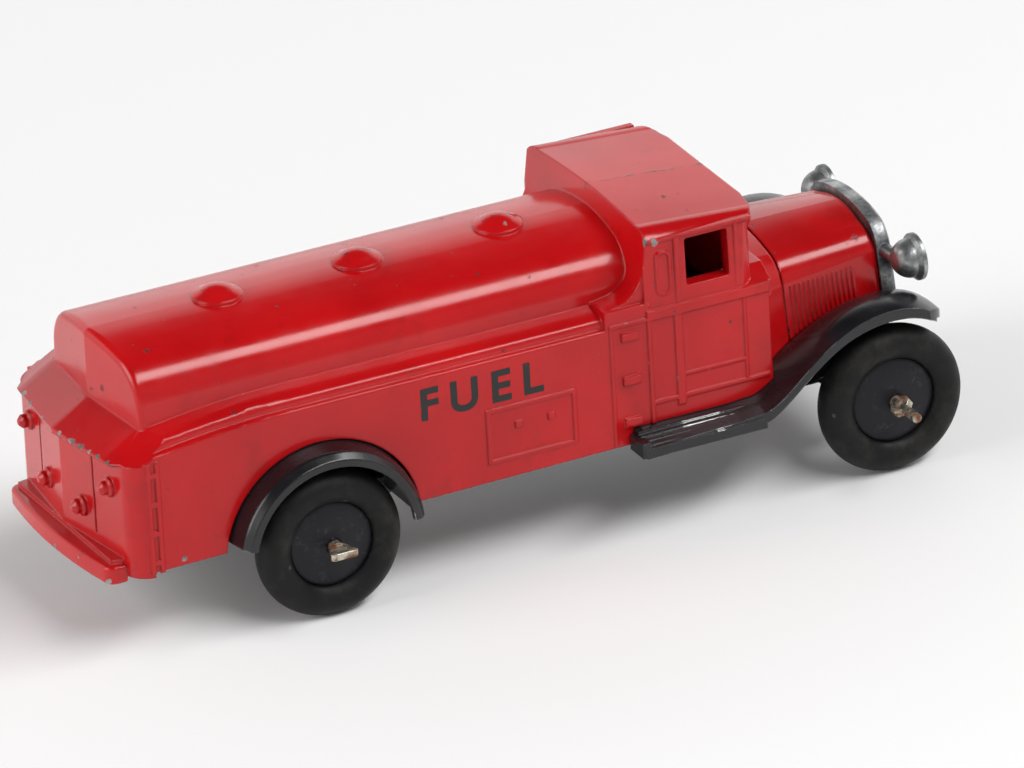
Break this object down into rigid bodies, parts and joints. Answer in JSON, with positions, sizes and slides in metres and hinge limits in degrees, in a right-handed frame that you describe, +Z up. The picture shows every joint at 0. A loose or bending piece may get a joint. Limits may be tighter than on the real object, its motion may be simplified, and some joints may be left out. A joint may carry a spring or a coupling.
{
  "type": "toy tanker truck",
  "caption": "Vintage die-cast toy petrol tanker: red cab and tank casting, black chassis with wings, bare zinc radiator and headlamps, wheels with rubber tyres that roll.",
  "frame": {"origin": "centre of the overall box at ground level, where the tyres stand", "axes": "+X forward towards the radiator, +Y to the driver's left, +Z up"},
  "size_m": [0.1042, 0.0452, 0.0357],
  "materials": {
    "red_enamel": "gloss enamel with small chips and specks",
    "black_enamel": "gloss enamel, worn to bare metal on the tread ribs",
    "bare_zinc": "bare cast zinc alloy, mottled dull grey",
    "axle_steel": "steel wire, tarnished, with rust at the pressed ends",
    "hub_black": "semi-gloss black enamel",
    "tyre_rubber": "smooth matte black rubber, dusty and scuffed"
  },
  "bodies": {
    "truck": {"tank_cab_body": "red_enamel", "chassis": "black_enamel", "radiator_headlamps": "bare_zinc"},
    "front_axle": {"front_axle": "axle_steel"},
    "rear_axle": {"rear_axle": "axle_steel"},
    "front_left_wheel": {"front_left_hub": "hub_black", "front_left_tyre": "tyre_rubber"},
    "front_right_wheel": {"front_right_hub": "hub_black", "front_right_tyre": "tyre_rubber"},
    "rear_left_wheel": {"rear_left_hub": "hub_black", "rear_left_tyre": "tyre_rubber"},
    "rear_right_wheel": {"rear_right_hub": "hub_black", "rear_right_tyre": "tyre_rubber"}
  },
  "joints": [
    {"name": "front_axle_spin", "type": "hinge", "parent": "truck", "child": "front_axle", "pos_m": [0.04346, 0, 0.00866], "axis": [0, 1, 0], "continuous": true},
    {"name": "rear_axle_spin", "type": "hinge", "parent": "truck", "child": "rear_axle", "pos_m": [-0.02584, 0, 0.00866], "axis": [0, 1, 0], "continuous": true},
    {"name": "front_left_wheel_spin", "type": "hinge", "parent": "front_axle", "child": "front_left_wheel", "pos_m": [0.04346, 0.01562, 0.00866], "axis": [0, 1, 0], "continuous": true},
    {"name": "front_right_wheel_spin", "type": "hinge", "parent": "front_axle", "child": "front_right_wheel", "pos_m": [0.04346, -0.01562, 0.00866], "axis": [0, 1, 0], "continuous": true},
    {"name": "rear_left_wheel_spin", "type": "hinge", "parent": "rear_axle", "child": "rear_left_wheel", "pos_m": [-0.02584, 0.01562, 0.00866], "axis": [0, 1, 0], "continuous": true},
    {"name": "rear_right_wheel_spin", "type": "hinge", "parent": "rear_axle", "child": "rear_right_wheel", "pos_m": [-0.02584, -0.01562, 0.00866], "axis": [0, 1, 0], "continuous": true}
  ]
}
